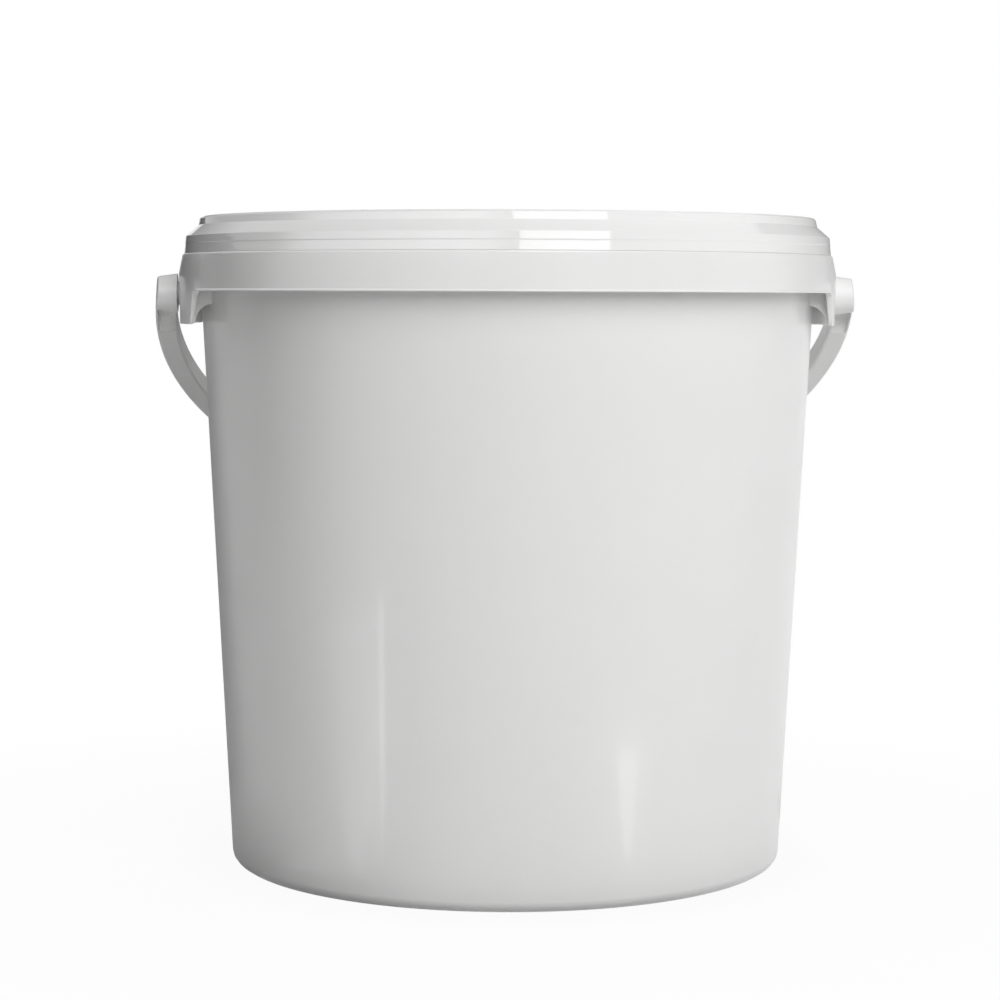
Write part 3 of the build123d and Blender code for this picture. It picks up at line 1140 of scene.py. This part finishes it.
@dataclass
class Handle:
    """The bail's one moulding: strap, grip, hubs and pivot pins.

    It is modelled flat, with X along the pivot line and +Y towards the grip, then turned to where it hangs.
    """

    pail: Pail
    hub_gap: float = 0.6
    width: float = 8.58
    thickness: float = 9.0
    bend: float = 1.2
    bow_offset: float = 17.3
    bow_middle: float = 90.0  # angle of the grip's middle about the bow's centre
    grip_half_length: float = 46.0
    grip_ramp: float = 22.0
    grip_width: float = 16.0
    rest_gap: float = 0.4
    hub_radius: float = 8.0
    hub_taper: float = 1.25
    hub_round: float = 0.8
    hub_proud: float = 0.1
    pin_radius: float = 4.7
    pin_head_radius: float = 5.9
    pin_head: float = 2.0
    pin_head_lead: float = 0.8
    pin_head_gap: float = 0.5
    pocket_margin: float = 0.9
    pocket_start: float = 0.01
    pocket_end: float = 21.0
    pocket_corner: float = 2.0
    pocket_run: float = 4.5
    pocket_shallow: float = 0.2
    pocket_deep: float = 4.5
    cell_wall: float = 1.7
    cell_floor: float = 2.0
    cell_count: int = 6
    cell_start: float = 6.0
    cell_end: float = 62.0
    cell_rib: float = 1.6
    fine_round: float = 0.2
    finish: MouldedPlastic = MouldedPlastic(
        "handle_white", colour=(0.82, 0.82, 0.815), cloud_colour=(0.805, 0.805, 0.80), roughness=0.29,
        flow=Patches((40.0, 40.0, 40.0), 3.0, 0.4, 0.75))

    def __post_init__(self) -> None:
        """Work out the sizes that follow from the others."""
        self.inside = self.pail.ear_radius + self.hub_gap  # of the hubs' inner faces
        self.bow_radius = hypot(self.inside + self.width / 2, self.bow_offset)  # of its middle line
        self.bow_start = -degrees(asin(self.bow_offset / self.bow_radius))  # degrees, at a hub
        self.cell_inset = self.cell_wall - self.bend  # from the edge of the strap's flat back

    def rest_angle(self) -> float:
        """Angle below level at which the grip hangs a small gap off the wall.

        Returns:
            The angle in degrees.
        """
        draft = radians(self.pail.wall_draft)
        reach = self.bow_offset + self.bow_radius - self.width / 2
        drop = -self.grip_width / 2
        along = reach - tan(draft) * drop
        across = drop + tan(draft) * reach
        wall = self.pail.wall_radius(self.pail.pivot_height) + self.rest_gap / cos(draft)
        return degrees(atan2(across, along) + acos(wall / hypot(along, across)))

    def cell_angles(self) -> list[Point]:
        """Places of the cells along one arm.

        Returns:
            First and last angle of each cell.
        """
        pitch = (self.cell_end - self.cell_start) / self.cell_count
        rib = degrees((self.cell_rib - 2 * self.cell_inset) / self.bow_radius)
        starts = [self.cell_start + step * pitch for step in range(self.cell_count + 1)]
        return [(first, after - rib) for first, after in zip(starts, starts[1:])]

    def arm_spans(self) -> list[Span]:
        """Faces along one arm of the bow, from its hub to the last cell.

        Returns:
            The stretches before, in and between the cells.
        """
        spans = [Span(self.cell_start - self.bow_start, 11)]
        last_end = self.cell_start
        for first, last in self.cell_angles():
            if first > last_end:
                spans.append(Span(first - last_end, 1))
            spans.append(Span(last - first, 8))
            last_end = last
        return spans

    def swell(self, angle: float) -> float:
        """Half of what the strap gains in width towards the grip.

        Args:
            angle: Angle along the bow, in degrees.

        Returns:
            The gain on each side.
        """
        grip = degrees(self.grip_half_length / self.bow_radius)
        ramp = degrees(self.grip_ramp / self.bow_radius)
        share = min(max((grip + ramp - abs(angle - self.bow_middle)) / ramp, 0.0), 1.0)
        return (self.grip_width - self.thickness) / 2 * share * share * (3 - 2 * share)

    def strap(self) -> Mesh:
        """Rounded strap in one round bow from hub to hub, which swells into the grip.

        Returns:
            The closed piece.
        """
        put_down()
        bpy.ops.mesh.primitive_plane_add(size=MM, location=ORIGIN, rotation=(pi / 2, 0, 0))
        piece = named("bail_handle")
        piece.scale = (self.width, self.thickness, 1)
        settle(piece)
        edit(piece)
        bpy.ops.mesh.bevel(offset=self.bend * MM, segments=4, affect="VERTICES")
        bpy.ops.transform.translate(value=(self.bow_radius * MM, 0, 0))
        put_down()
        piece.rotation_euler.z = radians(self.bow_start)
        piece.location.y = self.bow_offset * MM
        settle(piece)
        edit(piece)
        arm = self.arm_spans()
        grip = 180 - 2 * self.bow_start - 2 * sum(span.angle for span in arm)
        sweep([*arm, Span(grip, 56), *reversed(arm)], (0, 0, -1), (0, self.bow_offset * MM, 0))
        for vertex in piece.data.vertices:
            grow = self.swell(degrees(atan2(vertex.co.y / MM - self.bow_offset, vertex.co.x / MM)))
            vertex.co.z += grow * MM if vertex.co.z > 0 else -grow * MM
        return piece

    def sink_cells(self, piece: Mesh) -> None:
        """Sink the open cells into the back of both arms.

        Args:
            piece: Plain strap.
        """
        cells = self.cell_angles()
        half = self.thickness / 2

        def in_cell(face: bmesh.types.BMFace) -> bool:
            """Tell a face that lies on the strap's flat back, within a cell.

            Args:
                face: Face of the strap.

            Returns:
                Whether it is one.
            """
            spot = face.calc_center_median() / MM
            angle = degrees(atan2(spot.y - self.bow_offset, abs(spot.x)))
            flat = face.normal.z > FLAT and spot.z > half - MERGE
            return flat and any(first < angle < last for first, last in cells)

        edit(piece)
        pick(piece, Element.FACE, in_cell)
        bpy.ops.mesh.inset(thickness=self.cell_inset * MM, depth=0, use_even_offset=True)
        depth = self.thickness - self.cell_floor
        bpy.ops.mesh.extrude_region_move(TRANSFORM_OT_translate={"value": (0, 0, -depth * MM)})
        put_down()

    def pockets(self) -> Mesh:
        """Cutters for the sloping flat pocket in each arm's front, just below the hub.

        Returns:
            Both cutters as one shape.
        """
        low = -self.thickness / 2
        end = self.pocket_end * MM
        wedge = Outline((
            Corner(self.pocket_start, low - self.pocket_deep),
            Corner(self.pocket_end, low - self.pocket_deep),
            Corner(self.pocket_end, low + self.pocket_shallow),
            Corner(self.pocket_end - self.pocket_run, low + self.pocket_deep),
            Corner(self.pocket_start, low + self.pocket_deep),
        ))

        def far_upright(edge: bmesh.types.BMEdge) -> bool:
            """Whether an edge is one of the two upright ones at the far end."""
            here, there = (vertex.co for vertex in edge.verts)
            return here.y == there.y and all(abs(spot.x - end) < MERGE for spot in (here, there))

        block = slab("pocket", wedge, self.width - 2 * self.pocket_margin)
        edit(block)
        pick(block, Element.EDGE, far_upright)
        bpy.ops.mesh.bevel(offset=self.pocket_corner * MM, segments=5, affect="EDGES")
        put_down()
        block.rotation_euler.z = pi / 2
        block.location.x = self.bow_radius * MM
        settle(block)
        return gather([block, copy(block, flip=True)])

    def hubs(self) -> Mesh:
        """Tapered hub drums with their pivot pins and the heads that keep them in the ears.

        Returns:
            Both hubs as one shape.
        """
        head_face = self.pail.skirt_inside - self.pail.collar_flare - self.pin_head_gap
        head_end = head_face - self.pin_head
        cap = self.bow_radius + self.width / 2 + self.hub_proud
        outside = sqrt(cap ** 2 - self.bow_offset ** 2)
        slim = self.hub_taper * (outside - self.inside) / (cap - self.inside)
        profile = Outline((
            Corner(outside, 0),
            Corner(outside, self.hub_radius - slim, self.hub_round),
            Corner(self.inside, self.hub_radius, self.fine_round),
            Corner(self.inside, self.pin_radius, self.fine_round),
            Corner(head_face, self.pin_radius),
            Corner(head_face, self.pin_head_radius, self.fine_round),
            Corner(head_end + self.pin_head_lead, self.pin_head_radius, self.fine_round),
            Corner(head_end, self.pin_head_radius - self.pin_head_lead, self.fine_round),
            Corner(head_end, 0),
        ), closed=False)
        hub = turn("hub", profile, (Span(360.0, 72),), X_AXIS)
        for vertex in hub.data.vertices:
            if vertex.co.x > (self.inside + self.width / 2) * MM:
                side = vertex.co.y / MM - self.bow_offset
                vertex.co.x += (sqrt(cap ** 2 - side ** 2) - outside) * MM
        return gather([hub, copy(hub, flip=True)])

    def build(self) -> Mesh:
        """Model the handle, hang it behind the pail and dress it.

        Returns:
            The finished piece.
        """
        piece = self.strap()
        self.sink_cells(piece)
        combine(piece, self.pockets(), Join.CUT)
        combine(piece, self.hubs(), Join.ADD)
        piece.rotation_euler.x = -radians(self.rest_angle())
        piece.location.z = self.pail.pivot_height * MM
        settle(piece)
        return deliver(piece, self.finish, "bail", "handle")


def level(azimuth: float) -> Vector:
    """Level direction at an angle from -Y towards +X, in degrees."""
    return Vector((sin(radians(azimuth)), -cos(radians(azimuth)), 0))


@dataclass(frozen=True)
class Softbox:
    """A soft rectangular lamp, placed by angles from the camera's side of the pail."""

    name: str
    azimuth: float  # degrees to the camera's right
    elevation: float
    distance: float
    width: float
    height: float
    radiance: float  # brightness of its face, where 1 is white
    mirrored: bool = False

    def place(self, heading: float, target: Vector) -> None:
        """Hang the lamp and point it at a target.

        Args:
            heading: Camera's angle round the pail, in degrees.
            target: Point that the lamp faces.
        """
        lift = radians(self.elevation)
        away = level(self.azimuth - heading) * cos(lift) + Vector((0, 0, sin(lift)))
        lamp = bpy.data.lights.new(self.name, "AREA")
        lamp.shape = "RECTANGLE"
        lamp.size = self.width
        lamp.size_y = self.height
        lamp.energy = self.radiance * pi * self.width * self.height
        holder = bpy.data.objects.new(self.name, lamp)
        holder.location = target + away * self.distance
        holder.rotation_euler = (-away).to_track_quat("-Z", "Y").to_euler()
        holder.visible_camera = False
        holder.visible_glossy = self.mirrored
        bpy.context.collection.objects.link(holder)


def show_in_gloss(panel: Mesh, radiance: float, fade: float = 0.0) -> None:
    """Make a studio panel glow in the gloss of the pail alone, so that it neither lights nor shades it.

    Args:
        panel: Flat panel, one unit wide before its scale.
        radiance: Brightness of its face, where 1 is white.
        fade: Run-out to white at both ends, in squares of its width, or 0 for none.
    """
    glow, graph = new_paint(panel.name)
    face = graph.node("ShaderNodeEmission", {"Color": WHITE, "Strength": radiance})
    if fade:
        white = graph.node("ShaderNodeEmission", {"Color": WHITE, "Strength": 1.0})
        across = Signal(graph, graph.node("ShaderNodeSeparateXYZ", {0: graph.place()}).outputs["X"])
        within = (0.5 ** 2 - across * across).rise(0.0, fade)
        face = graph.node("ShaderNodeMixShader", {0: within, 1: white.outputs[0], 2: face.outputs[0]})
    graph.show(face)
    glow.cycles.emission_sampling = "NONE"
    panel.data.materials.append(glow)
    panel.visible_camera = False
    panel.visible_diffuse = False
    panel.visible_shadow = False


@dataclass(frozen=True)
class Card:
    """A card beside the pail, dark or bright, that shows only in its gloss."""

    name: str
    azimuth: float  # degrees to the camera's right
    distance: float  # of its lower edge
    width: float
    height: float
    radiance: float  # brightness of its face, where 1 is white
    lean: float = 0.0  # degrees back from upright
    lift: float = 0.0  # of its lower edge above the floor
    fade: float = 0.0

    def place(self, heading: float) -> None:
        """Set the card up, facing the pail.

        Args:
            heading: Camera's angle round the pail, in degrees.
        """
        lean = radians(self.lean)
        facing = self.azimuth - heading
        away = level(facing) * (self.distance + self.height / 2 * sin(lean))
        put_down()
        bpy.ops.mesh.primitive_plane_add(
            size=1.0, location=(away.x, away.y, self.lift + self.height / 2 * cos(lean)),
            rotation=(pi / 2 + lean, 0, radians(facing)),
        )
        panel = named(self.name)
        panel.scale = (self.width, self.height, 1)
        show_in_gloss(panel, self.radiance, self.fade)


@dataclass(frozen=True)
class Wedge:
    """A bright wedge on the floor that shows only in the pail's gloss, as a lamp in a polished table."""

    name: str
    right: float  # place of its tip, to the camera's right
    near: float  # and towards the camera
    azimuth: float  # direction in which it widens, in degrees to the camera's right
    length: float
    width: float
    radiance: float  # brightness of its face, where 1 is white
    lift: float = 0.0005

    def place(self, heading: float) -> None:
        """Lay the wedge on the floor, as a triangle made of a circle with three corners.

        Args:
            heading: Camera's angle round the pail, in degrees.
        """
        unit_width, unit_length, tip_share = sqrt(3), 1.5, 2 / 3
        tip = Vector((self.right, -self.near, self.lift))
        middle = tip + level(self.azimuth) * self.length * tip_share
        put_down()
        bpy.ops.mesh.primitive_circle_add(
            vertices=3, radius=1.0, fill_type="NGON", rotation=(0, 0, radians(self.azimuth - heading)),
            location=Matrix.Rotation(-radians(heading), 4, "Z") @ middle,
        )
        panel = named(self.name)
        panel.scale = (self.width / unit_width, self.length / unit_length, 1)
        show_in_gloss(panel, self.radiance)


@dataclass
class Studio:
    """White floor and background, soft lamps and the photograph's camera."""

    eye_height: float = 0.2305
    eye_distance: float = 1.111
    heading: float = 3.4  # camera's angle round the pail, towards -X, in degrees
    pitch: float = 4.275
    roll: float = 0.2
    side_step: float = -0.0027
    lens: float = 97.29  # millimetres
    sensor: float = 36.0
    ambient: float = 0.03
    floor_size: float = 40.0
    floor_colour: Triple = (0.74, 0.74, 0.74)
    # painted shade: the floor's matt colour is darker in a ring round the pail's foot, which darkens the
    # bounce onto the wall's base as contact shade would
    floor_painted_shade: Triple = (0.36, 0.36, 0.36)
    painted_shade_edge: Point = (0.115, 0.145)  # from the axis, where the painted shade round the foot ends
    floor_glow: float = 0.95  # how far the floor is seen as white beside the pail
    glow_edge: Point = (0.12, 0.45)  # from the axis, where it turns all white
    cards: tuple[Card | Wedge, ...] = (
        Card("rear_card", -152.0, 0.17, 0.44, 0.27, 0.2, lean=30.0, fade=0.2),
        Card("rear_foot_card", -152.0, 0.0, 0.44, 0.17, 0.3, lean=90.0, lift=0.0005, fade=0.2),
        Card("left_foot_card", -62.0, 0.05, 0.2, 0.085, 0.42, lean=90.0, lift=0.0003, fade=0.2),
        Card("left_card", -122.0, 0.9, 1.5, 0.165, 0.02, lift=0.2, fade=0.1),
        Card("left_low_card", -85.0, 1.2, 1.1, 0.25, 0.4, fade=0.2),
        Card("rear_left_card", -165.0, 0.9, 0.9, 0.42, 0.3, lift=0.42, fade=0.24),
        Card("right_card", 141.0, 0.9, 1.7, 0.7, 0.3, lift=0.235, fade=0.24),
        Card("front_left_card", -42.0, 1.5, 3.0, 1.1, 3.6, lift=0.35, fade=0.2),
        Wedge("left_gleam", -0.09, 0.114, -59.7, 0.52, 0.28, 2.2),
        Wedge("left_gleam_edge", -0.096, 0.141, -49.0, 0.49, 0.03, 7.0, lift=0.001),
        Wedge("right_gleam", 0.084, 0.134, 48.4, 0.18, 0.045, 5.0),
    )
    softboxes: tuple[Softbox, ...] = (
        Softbox("front_right_softbox", 19.0, 35.0, 1.6, 0.87, 1.3, 4.75, mirrored=True),
        Softbox("front_fill", 25.0, 12.0, 1.6, 1.0, 0.6, 0.5),
        Softbox("right_softbox", 95.0, 18.0, 1.5, 0.9, 0.9, 2.15),
        Softbox("left_softbox", -65.0, 25.0, 1.5, 0.9, 0.9, 0.37),
        Softbox("top_softbox", -70.0, 80.0, 1.5, 1.0, 1.0, 1.05),
        Softbox("rear_softbox", 162.0, 16.0, 1.6, 1.2, 0.8, 3.4),
    )

    def camera(self) -> None:
        """Set the camera where the photograph was taken from."""
        lens = bpy.data.cameras.new("photo_camera")
        lens.lens = self.lens
        lens.sensor_width = self.sensor
        eye = bpy.data.objects.new("photo_camera", lens)
        back, right = level(-self.heading), level(90 - self.heading)
        place = back * self.eye_distance + right * self.side_step + Vector((0, 0, self.eye_height))
        yaw = Matrix.Rotation(-radians(self.heading), 4, "Z")
        aim = yaw @ Matrix.Rotation(radians(90 - self.pitch), 4, "X")
        eye.matrix_world = Matrix.Translation(place) @ aim @ Matrix.Rotation(radians(self.roll), 4, "Z")
        bpy.context.collection.objects.link(eye)
        bpy.context.scene.camera = eye

    def seen(self, graph: Graph) -> Signal:
        """Tell the rays that show a surface from those that light others.

        Args:
            graph: Graph of the surface or of the background.

        Returns:
            1 for rays from the camera and for mirrored or refracted ones, else 0.
        """
        path = graph.node("ShaderNodeLightPath").outputs
        direct = Signal(graph, path["Is Camera Ray"])
        return (direct + path["Is Glossy Ray"] + path["Is Transmission Ray"]).rise(0.0, 1.0)

    def surroundings(self) -> None:
        """White background, and a dimmer even light from all round."""
        world = bpy.data.worlds.new("white_room")
        world.use_nodes = True
        bpy.context.scene.world = world
        graph = Graph(world.node_tree)
        dim, white = (
            graph.node("ShaderNodeBackground", {"Color": WHITE, "Strength": strength}).outputs[0]
            for strength in (self.ambient, 1.0)
        )
        mixed = graph.node("ShaderNodeMixShader", {0: self.seen(graph), 1: dim, 2: white})
        graph.node("ShaderNodeOutputWorld", {"Surface": mixed.outputs[0]})

    def floor(self) -> None:
        """Pale floor that keeps the pail's shadow and fades to white away from it, with painted shade in a
        darker ring round the pail's foot.
        """
        put_down()
        bpy.ops.mesh.primitive_plane_add(size=self.floor_size, location=ORIGIN)
        ground = named("studio_floor")
        paint, graph = new_paint("floor_white")
        length = graph.node("ShaderNodeVectorMath", {0: graph.place()}, operation="LENGTH")
        away = Signal(graph, length.outputs["Value"])
        glow = self.floor_glow + (1.0 - self.floor_glow) * away.rise(*self.glow_edge)
        # painted shade: darker matt colour in a ring next to the pail's foot
        colour = graph.tint(away.rise(*self.painted_shade_edge), rgba(self.floor_painted_shade), rgba(self.floor_colour))
        matt = graph.node("ShaderNodeBsdfDiffuse", {"Color": colour}).outputs[0]
        white = graph.node("ShaderNodeEmission", {"Color": WHITE, "Strength": 1.0}).outputs[0]
        graph.show(graph.node("ShaderNodeMixShader", {0: self.seen(graph) * glow, 1: matt, 2: white}))
        ground.data.materials.append(paint)

    def build(self) -> None:
        """Set up the stage, the lamps and the camera."""
        bpy.context.scene.view_settings.view_transform = "Standard"
        low, high = CAD_BOX
        target = Vector((0, 0, (low.z + high.z) / 2))
        self.floor()
        self.surroundings()
        for panel in self.cards:
            panel.place(self.heading)
        for lamp in self.softboxes:
            lamp.place(self.heading, target)
        self.camera()


def main() -> None:
    """Build every piece and the studio."""
    logging.basicConfig(level=logging.INFO, format="%(message)s")
    pail = Pail()
    lid = Lid(pail)
    for piece in (pail.build(), lid.build(), lid.build_seal(), Handle(pail).build()):
        LOG.info("%s: %d faces", piece.name, len(piece.data.polygons))
    Studio().build()


if __name__ == "__main__":
    main()
